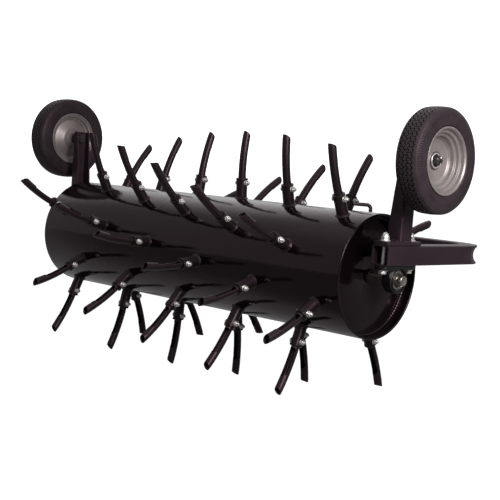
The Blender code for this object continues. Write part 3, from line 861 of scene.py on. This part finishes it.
def frame_stations():
    """(centre, sideways direction, dent) along the U, from the left rail's end to the right's."""
    corner_x = BEARING_X - BEND_RADIUS
    corner_y = CROSS_Y - BEND_RADIUS
    stations = []
    for step in range(9):
        y = RAIL_START + (corner_y - 0.004 - RAIL_START) * step / 9
        stations.append((Vector((-BEARING_X, y, RAIL_Z)), Vector((-1, 0, 0)), 0.0))
    for sign, first in ((-1, 0), (1, BEND_STEPS)):
        for step in range(BEND_STEPS + 1):
            share = abs(first - step) / BEND_STEPS
            angle = math.radians(90) * share
            outward = Vector((sign * math.cos(angle), math.sin(angle), 0))
            centre = Vector((sign * corner_x, corner_y, RAIL_Z)) + outward * BEND_RADIUS
            dent = BEND_DENT * math.sin(math.pi * share) ** 0.6 if 0 < share < 1 else 0.0
            stations.append((centre, outward, dent))
    for step in range(9):
        y = corner_y - 0.004 - (corner_y - 0.004 - RAIL_START) * (step + 1) / 9
        stations.append((Vector((BEARING_X, y, RAIL_Z)), Vector((1, 0, 0)), 0.0))
    return stations


def tube_rings(stations, half, corner):
    rings = []
    for centre, outward, dent in stations:
        outline = tube_outline(half, corner, dent)
        rings.append([centre + outward * out + Vector((0, 0, up)) for out, up in outline])
    return rings


def square_tube(bm, stations):
    """A hollow square tube with rounded corners, open at both ends."""
    outer = tube_rings(stations, TUBE / 2, TUBE_CORNER)
    inner = tube_rings(stations, TUBE / 2 - TUBE_WALL, TUBE_CORNER - TUBE_WALL + 0.001)
    skin(bm, outer + inner[::-1], loop=True)


def build_frame(paint):
    bm = bmesh.new()
    square_tube(bm, frame_stations())
    add_piece("frame_tube", to_mesh(bm, "frame_tube"), paint, "frame", None, ["frame"])
    start = CROSS_Y + TUBE / 2 + FIT
    bm = bmesh.new()
    middle = straight((0, start, RAIL_Z), (0, TONGUE_END, RAIL_Z), 8)
    square_tube(bm, [(centre, Vector((-1, 0, 0)), 0.0) for centre in middle])
    add_piece("tongue_tube", to_mesh(bm, "tongue_tube"), paint, "frame")
    half = TUBE / 2
    weld_y = start + 0.0008
    reach = half - TUBE_CORNER
    paths = []
    for sign in (-1, 1):
        beside = sign * (half + 0.001)
        over = RAIL_Z + sign * half
        paths.append(straight((beside, weld_y, RAIL_Z - reach), (beside, weld_y, RAIL_Z + reach), 60))
        paths.append(straight((-reach, weld_y - 0.004, over), (reach, weld_y - 0.004, over), 60))
    add_welds("tongue_weld", [(path, 0.0040, 0.15, 0.005) for path in paths], paint, "frame")
    wide = half - 0.0015
    nose = 0.018
    for name, sign in (("lower", -1), ("upper", 1)):
        face = RAIL_Z + sign * (half + 0.0001)
        edge = face + sign * CLEVIS_THICKNESS
        outline = fillet([(-wide, CLEVIS_START, 0.003), (wide, CLEVIS_START, 0.003),
                          (wide, CLEVIS_END, nose), (-wide, CLEVIS_END, nose)], steps=8)
        bm = bmesh.new()
        low, high = min(face, edge), max(face, edge)
        bevel = 0.0008
        shrink = [(x * (1 - bevel / wide), y + (bevel if y < PIN_Y - 0.05 else -bevel))
                  for x, y in outline]
        layers = ((low, shrink), (low + bevel, outline), (high - bevel, outline), (high, shrink))
        skin(bm, [[Vector((x, y, z)) for x, y in shape] for z, shape in layers])
        plate = add_piece(f"clevis_plate_{name}", to_mesh(bm, "clevis_plate"), paint, "frame")
        drill(plate, (0, PIN_Y), PIN_RADIUS + 0.0006, low - 0.01, high + 0.01)
        paths = [straight((x, CLEVIS_START + 0.004, face), (x, TONGUE_END - 0.004, face), 90)
                 for x in (-wide - 0.001, wide + 0.001)]
        add_welds(f"clevis_weld_{name}", [(path, 0.0026, 0.15, 0.004) for path in paths], paint, "frame")


def drill(piece, centre, radius, low, high, sides=32):
    """Cuts an upright round hole through a piece, at (x, y) from the drum's middle."""
    bm = bmesh.new()
    skin(bm, [level_circle(z, radius, sides, centre) for z in (low, high)])
    cutter = temporary("drill", bm)
    cutter.matrix_world = Matrix.Translation(AXLE_CENTRE)
    cut_away(piece, cutter).set_sharp_from_angle(angle=math.radians(30))


def rod_along(bm, points, radius, sides=20):
    """A round bar through a list of points, thinner at both ends."""
    share = {0: 0.6, len(points) - 1: 0.8}
    rings = []
    for index, point in enumerate(points):
        before = points[max(0, index - 1)]
        after = points[min(len(points) - 1, index + 1)]
        along = (after - before).normalized()
        size = radius * share.get(index, 1.0)
        rings.append(round_section(point, along, Vector((-1, 1, 0)).normalized(), size, sides))
    skin(bm, rings)


def build_pin(paint):
    away = Vector((-1, -1, 0)).normalized()
    points = [Vector((0, PIN_Y, PIN_BOTTOM)), Vector((0, PIN_Y, PIN_BOTTOM + 0.004)),
              Vector((0, PIN_Y, PIN_TOP - PIN_BEND - 0.02))]
    for step in range(9):
        angle = math.radians(90) * step / 8
        points.append(Vector((0, PIN_Y, PIN_TOP - PIN_BEND)) + away * PIN_BEND * (1 - math.cos(angle))
                      + Vector((0, 0, PIN_BEND * math.sin(angle))))
    tip = Vector((0, PIN_Y, PIN_TOP)) + away * PIN_HANDLE
    points += [tip - away * 0.0012, tip]
    bm = bmesh.new()
    rod_along(bm, points, PIN_RADIUS)
    seat = RAIL_Z + TUBE / 2 + CLEVIS_THICKNESS + FIT
    collar = [(seat, PIN_RADIUS), (seat, PIN_COLLAR - 0.0006), (seat + 0.0006, PIN_COLLAR),
              (seat + 0.0034, PIN_COLLAR), (seat + 0.0040, PIN_COLLAR - 0.0006),
              (seat + 0.0040, PIN_RADIUS)]
    skin(bm, [level_circle(z, radius, 32, (0.0, PIN_Y)) for z, radius in collar])
    add_piece("hitch_pin_bar", to_mesh(bm, "hitch_pin_bar", 40), paint, "hitch_pin", None,
              ["hitch_pin"])


# ---------------------------------------------------------------- wheel arms

def build_arms(paint):
    low = RAIL_Z + TUBE / 2 + 0.0003
    floor = low + PLATE_THICKNESS
    for name, sign in SIDES:
        x = sign * BEARING_X
        inward = x - PLATE_WIDTH / 2
        outward = x + PLATE_WIDTH / 2
        half = BLOCK_LENGTH / 2
        outline = fillet([(inward, -half, 0.004), (outward, -half, 0.004), (outward, half, 0.004),
                          (inward, half, 0.004)])
        bm = bmesh.new()
        bevel = 0.0008
        skin(bm, [[Vector((px - math.copysign(inset, px - x), py - math.copysign(inset, py), z))
                   for px, py in outline]
                  for z, inset in ((low, bevel), (low + bevel, 0), (floor - bevel, 0), (floor, bevel))])
        add_piece(f"arm_plate_{name}", to_mesh(bm, "arm_plate"), paint, "frame", None,
                  [f"{name}_wheel_arm"])
        bm = bmesh.new()
        rings = []
        for step in range(13):
            share = step / 12
            depth = ARM_FOOT_DEPTH + (ARM_TOP_DEPTH - ARM_FOOT_DEPTH) * share
            z = floor + FIT + (ARM_TOP - floor - FIT) * share
            rings.append([Vector((sign * px, py, z)) for px, py in channel_outline(depth)])
        skin(bm, rings)
        arm = add_piece(f"arm_channel_{name}", to_mesh(bm, "arm_channel"), paint, "frame")
        edge = arm.modifiers.new("edge", "BEVEL")
        edge.width = 0.0006
        edge.segments = 2
        edge.limit_method = "ANGLE"
        edge.angle_limit = math.radians(60)
        root = sign * (ARM_WEB_X + FIT)
        boss = fillet([(root, BOSS_RADIUS, 0), (sign * BOSS_END, BOSS_RADIUS, 0.0015),
                       (sign * BOSS_END, BOSS_BORE, 0.0008), (root, BOSS_BORE, 0)])
        lathe_piece(f"arm_boss_{name}", boss, 64, paint, "frame", (ARM_Y, WHEEL_Z))
        round_boss = circle(sign * (ARM_WEB_X + 0.0008), BOSS_RADIUS + 0.0008, 96, (ARM_Y, WHEEL_Z))
        front = ARM_Y - ARM_WIDTH / 2
        back = ARM_Y + ARM_WIDTH / 2
        inner = sign * (ARM_WEB_X - ARM_FOOT_DEPTH + 0.003)
        outer = sign * (ARM_WEB_X - ARM_BEND)
        z = floor + 0.0006
        web = sign * (ARM_WEB_X + 0.0006)
        paths = [straight((inner, y, z), (outer, y, z), 48) for y in (front - 0.0006, back + 0.0006)]
        paths.append(straight((web, front + ARM_BEND, z), (web, back - ARM_BEND, z), 48))
        welds = [(round_boss, 0.0030, 0.15, 0.0052, True)]
        welds += [(path, 0.0030, 0.15, 0.0045) for path in paths]
        add_welds(f"arm_weld_{name}", welds, paint, "frame")


def channel_outline(depth):
    """The folded channel's section as (x, y), open towards the drum."""
    front = ARM_Y - ARM_WIDTH / 2
    back = ARM_Y + ARM_WIDTH / 2
    free = ARM_WEB_X - depth
    inside = ARM_WEB_X - ARM_WALL
    fold = ARM_BEND - ARM_WALL
    return fillet([(free, front, 0), (ARM_WEB_X, front, ARM_BEND), (ARM_WEB_X, back, ARM_BEND),
                   (free, back, 0), (free, back - ARM_WALL, 0), (inside, back - ARM_WALL, fold),
                   (inside, front + ARM_WALL, fold), (free, front + ARM_WALL, 0)], steps=6)


# ---------------------------------------------------------------- wheels

def tyre_profile():
    """One side of the tyre's section as (across, radius, fillet), from its bead to the tread."""
    return [(0.0285, 0.0775, 0), (0.0285, 0.0846, 0.002), (0.0325, 0.0872, 0.003), (0.0345, 0.102, 0.012),
            (0.0335, 0.1165, 0.008), (0.0300, 0.1258, 0.005), (TREAD_EDGE, TYRE_RADIUS - CROWN, 0)]


def tyre_mesh():
    """A closed ring with zigzag tread blocks, notched shoulders and plain sidewalls."""
    pitch_turns = (0.0, 0.03, 0.10, 0.13, 0.25, 0.50, 0.53, 0.60, 0.63, 0.75)
    zig = 0.0024
    groove_depth = 0.0042
    slot_depth = 0.0030
    groove_half = 0.0018
    groove_places = (-0.0180, -0.0060, 0.0060, 0.0180)
    lines = []
    for place in groove_places:
        lines += [(place - groove_half, 0.0), (place - groove_half + 0.0004, groove_depth),
                  (place + groove_half - 0.0004, groove_depth), (place + groove_half, 0.0)]
    lines = [(-TREAD_EDGE, 0.0)] + lines + [(TREAD_EDGE, 0.0)]
    right = fillet(tyre_profile(), closed=False, steps=5)
    columns = TREAD_BLOCKS * len(pitch_turns)
    shoulder_band = (0.1130, 0.1185)
    rings = []

    def section_point(column, across, radius):
        block, part = divmod(column, len(pitch_turns))
        angle = math.tau * (block + pitch_turns[part]) / TREAD_BLOCKS
        return Vector((across, radius * math.cos(angle), radius * math.sin(angle)))

    def triangle(turn):
        turn = (turn + 0.25) % 1.0
        return 4 * abs(turn - 0.5) - 1

    for column in range(columns):
        part = column % len(pitch_turns)
        turn = pitch_turns[part]
        shift = zig * triangle(turn)
        ring = []
        notch = 0.0018 if part in (1, 2, 6, 7) else 0.0
        for x, radius in right[:-1]:
            cut = notch if shoulder_band[0] < radius < shoulder_band[1] else 0.0
            ring.append(section_point(column, x - cut, radius))
        for across, depth in reversed(lines):
            fade = 1.0 if abs(across) < 0.022 else 0.0
            crown = CROWN * (across / TREAD_EDGE) ** 2
            odd = sum(across > place for place in groove_places) % 2
            in_slot = part in ((1, 2) if odd else (6, 7))
            if depth == 0.0 and in_slot and fade:
                depth = slot_depth
            ring.append(section_point(column, across + shift * fade, TYRE_RADIUS - crown - depth))
        for x, radius in reversed(right[:-1]):
            cut = notch if shoulder_band[0] < radius < shoulder_band[1] else 0.0
            ring.append(section_point(column, -x + cut, radius))
        rings.append(ring)
    bm = bmesh.new()
    skin(bm, rings, loop=True)
    return to_mesh(bm, "tyre", 32)


def rim_profile():
    """The pressed rim's section as (across, radius, fillet), with + outboard."""
    outboard = [(0.0325, 0.0838, 0.0008), (0.0325, 0.0805, 0.0012), (0.0290, 0.0772, 0.0020),
                (0.0210, 0.0752, 0.0020), (0.0195, 0.0690, 0.0020), (0.0120, 0.0672, 0.0020),
                (0.0100, 0.0612, 0.0020), (0.0010, 0.0592, 0.0030), (-0.0055, 0.0540, 0.0050),
                (-0.0060, 0.0230, 0.0010), (-0.0030, 0.0212, 0.0010), (-0.0030, WHEEL_BORE, 0.0005)]
    inboard = [(HUB_INNER - WHEEL_X, WHEEL_BORE, 0.0005), (HUB_INNER - WHEEL_X, 0.0195, 0.0020),
               (-0.0400, 0.0215, 0.0030), (-0.0270, 0.0330, 0.0100), (-0.0150, 0.0560, 0.0060),
               (-0.0120, 0.0615, 0.0030), (-0.0170, 0.0650, 0.0020), (-0.0190, 0.0700, 0.0020),
               (-0.0265, 0.0725, 0.0020), (-0.0290, 0.0780, 0.0015), (-0.0325, 0.0805, 0.0012),
               (-0.0325, 0.0838, 0.0008)]
    barrel = [(-0.0295, 0.0838, 0.0008), (-0.0295, 0.0772, 0.0010), (0.0295, 0.0772, 0.0010),
              (0.0295, 0.0838, 0.0008)]
    return outboard + inboard + barrel


def build_wheels(rubber, silver, zinc, dark):
    tyre = tyre_mesh()
    bm = bmesh.new()
    lathe(bm, fillet(rim_profile()), WHEEL_SEGMENTS)
    rim = to_mesh(bm, "rim", 40)
    for name, sign in SIDES:
        turn = Matrix.Rotation(math.radians(0 if sign > 0 else 180), 4, "Z")
        place = Matrix.Translation((sign * WHEEL_X, ARM_Y, WHEEL_Z)) @ turn
        body = f"{name}_wheel"
        add_piece(f"tyre_{name}", tyre, rubber, body, place, [f"{name}_tyre"])
        add_piece(f"rim_{name}", rim, silver, body, place, [f"{name}_rim"])
        # Dark rubber rings at the hub. The outer one is the hub's black edge round the washer. The inner
        # one fills the gap round the nut, as painted shade in that gap.
        bm = bmesh.new()
        lathe(bm, fillet([(-0.0029, 0.0198, 0.0003), (-0.0029, 0.0224, 0.0006),
                          (-0.0010, 0.0218, 0.0006), (-0.0016, 0.0198, 0.0003)]), 64)
        lathe(bm, fillet([(-0.0016, 0.0084, 0.0002), (-0.0016, 0.0156, 0.0003),
                          (-0.0006, 0.0152, 0.0003), (-0.0006, 0.0084, 0.0002)]), 64)
        add_piece(f"wheel_hub_edge_and_gap_shade_{name}", to_mesh(bm, "wheel_hub_edge_and_gap_shade"), rubber, "frame",
                  place)
        bm = bmesh.new()
        lathe(bm, fillet([(-0.0028, 0.0158, 0.0004), (-0.0028, 0.0196, 0.0004),
                          (0.0002, 0.0192, 0.0012), (0.0002, 0.0162, 0.0012)]), 64)
        add_piece(f"wheel_washer_{name}", to_mesh(bm, "wheel_washer"), zinc, "frame",
                  place)
        bm = bmesh.new()
        head = ARM_WEB_X - ARM_WALL - WHEEL_X
        hex_head(bm, head - 0.0103, head - 0.0003, 0.0118)
        threaded_end(bm, head - 0.001, 0.0152, WHEEL_BOLT_RADIUS, 0.002)
        add_piece(f"wheel_axle_bolt_{name}", to_mesh(bm, "wheel_axle_bolt", 25), dark, "frame",
                  place, [f"{name}_wheel_bolt"])
        bm = bmesh.new()
        hex_head(bm, -0.0004, 0.0108, 0.0104)
        add_piece(f"wheel_nut_{name}", to_mesh(bm, "wheel_nut", 25), dark, "frame", place)
        bm = bmesh.new()
        path = [Vector((0.0128, 0.0, z)) for z in (0.0100, 0.0090, 0.0, -0.0090)]
        path += [Vector((0.0122, 0.0006, -0.0112)), Vector((0.0100, 0.0014, -0.0140)),
                 Vector((0.0092, 0.0018, -0.0160))]
        rod_along(bm, path, 0.0014, 12)
        add_piece(f"wheel_cotter_{name}", to_mesh(bm, "wheel_cotter", 40), zinc, "frame",
                  place)


# ---------------------------------------------------------------- stage

def build_stage():
    """A pale floor, level with the lowest tip."""
    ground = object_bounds()[0].z - 0.0005
    half = FLOOR_SIZE / 2
    bm = bmesh.new()
    corners = [(-half, -half), (half, -half), (half, half), (-half, half)]
    bm.faces.new([bm.verts.new((x, y, ground)) for x, y in corners])
    floor = bpy.data.objects.new("studio_floor", to_mesh(bm, "studio_floor"))
    bpy.context.scene.collection.objects.link(floor)
    floor.data.materials.append(floor_material())


def combine(tree, operation, first, second):
    return node(tree, "ShaderNodeMath", {0: first, 1: second}, operation=operation).outputs["Value"]


def build_light():
    """A white room, bright behind the machine and dim on the camera's side, and one soft key light."""
    world = bpy.data.worlds.new("studio")
    bpy.context.scene.world = world
    world.use_nodes = True
    tree = world.node_tree
    direction = node(tree, "ShaderNodeTexCoord").outputs["Generated"]
    parts = node(tree, "ShaderNodeSeparateXYZ", {"Vector": direction}).outputs
    across = parts["X"]
    height = parts["Z"]
    glow = ramp(tree, across, -0.35, 0.35, ROOM_LEFT, ROOM_RIGHT)
    far = ramp(tree, along_view(tree, direction), 0.40, 0.85, 0.0, ROOM_BACK)
    behind = combine(tree, "MULTIPLY", far, ramp(tree, height, 0.10, 0.45, ROOM_LOW, 1.0))
    above = ramp(tree, height, 0.6, 0.95, 0.0, ROOM_TOP)
    window = combine(tree, "MULTIPLY", ramp(tree, across, 0.35, 0.70, 0.0, 1.0),
                     ramp(tree, height, 0.12, 0.40, 0.0, ROOM_WINDOW))
    path = node(tree, "ShaderNodeLightPath")
    for part in (behind, above, window, path.outputs["Is Camera Ray"]):
        glow = combine(tree, "ADD", glow, part)
    share = spread(tree, path.outputs["Is Diffuse Ray"], 1.0, ROOM_ON_MATT, 0.0, 1.0)
    glow = combine(tree, "MULTIPLY", glow, share)
    set_inputs(tree, tree.nodes["Background"], {"Color": WHITE, "Strength": glow})
    light = bpy.data.lights.new("key", "AREA")
    light.shape = "RECTANGLE"
    light.size, light.size_y = KEY_SIZE
    light.energy = KEY_POWER
    key = bpy.data.objects.new("key", light)
    bpy.context.scene.collection.objects.link(key)
    key.location = AXLE_CENTRE + Vector(KEY_PLACE)
    key.rotation_euler = (-Vector(KEY_PLACE)).to_track_quat("-Z", "Y").to_euler()
    bpy.context.scene.view_settings.view_transform = "Standard"


def build_camera():
    forward = Vector((-math.sin(CAMERA_AZIMUTH) * math.cos(CAMERA_DIP),
                      math.cos(CAMERA_AZIMUTH) * math.cos(CAMERA_DIP), -math.sin(CAMERA_DIP)))
    level = forward.cross(Vector((0, 0, 1))).normalized()
    above = level.cross(forward)
    right = math.cos(CAMERA_ROLL) * level + math.sin(CAMERA_ROLL) * above
    up = math.cos(CAMERA_ROLL) * above - math.sin(CAMERA_ROLL) * level
    camera = bpy.data.objects.new("camera", bpy.data.cameras.new("camera"))
    bpy.context.scene.collection.objects.link(camera)
    camera.data.lens = CAMERA_LENS
    camera.data.sensor_width = 36.0
    turn = Matrix((right, up, -forward)).transposed().to_4x4()
    camera.matrix_world = Matrix.Translation(AXLE_CENTRE + Vector(CAMERA_PLACE)) @ turn
    bpy.context.scene.camera = camera


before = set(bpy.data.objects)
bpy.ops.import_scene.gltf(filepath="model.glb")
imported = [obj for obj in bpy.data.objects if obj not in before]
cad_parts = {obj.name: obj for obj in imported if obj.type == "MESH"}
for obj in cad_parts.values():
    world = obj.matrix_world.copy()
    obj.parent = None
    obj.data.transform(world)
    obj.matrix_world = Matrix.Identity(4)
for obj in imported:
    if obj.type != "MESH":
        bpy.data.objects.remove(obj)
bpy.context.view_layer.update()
axle_low, axle_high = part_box("axle")
AXLE_CENTRE = (axle_low + axle_high) / 2

gloss_paint = paint_material("gloss_black_paint", 0.16, 0.08, (0.0028, 0.0014, 0.0020),
                             (0.0050, 0.0028, 0.0037))
satin_paint = paint_material("satin_black_paint", 0.54, 0.40, (0.0150, 0.0084, 0.0124),
                             (0.0220, 0.0130, 0.0185))
tine_paint = paint_material("tine_black_paint", 0.46, 0.34, (0.0080, 0.0050, 0.0063),
                            (0.0130, 0.0084, 0.0104))
cast_paint = cast_material()
bright_zinc = zinc_material()
ground_steel = steel_material()
dark_steel = dark_steel_material()
tyre_rubber = rubber_material()
rim_paint = silver_material()

build_drum(gloss_paint, ground_steel)
build_tines(tine_paint, bright_zinc)
build_bearings(cast_paint, bright_zinc, ground_steel, dark_steel)
build_frame(satin_paint)
build_pin(satin_paint)
build_arms(satin_paint)
build_wheels(tyre_rubber, rim_paint, bright_zinc, dark_steel)
build_stage()
build_light()
build_camera()
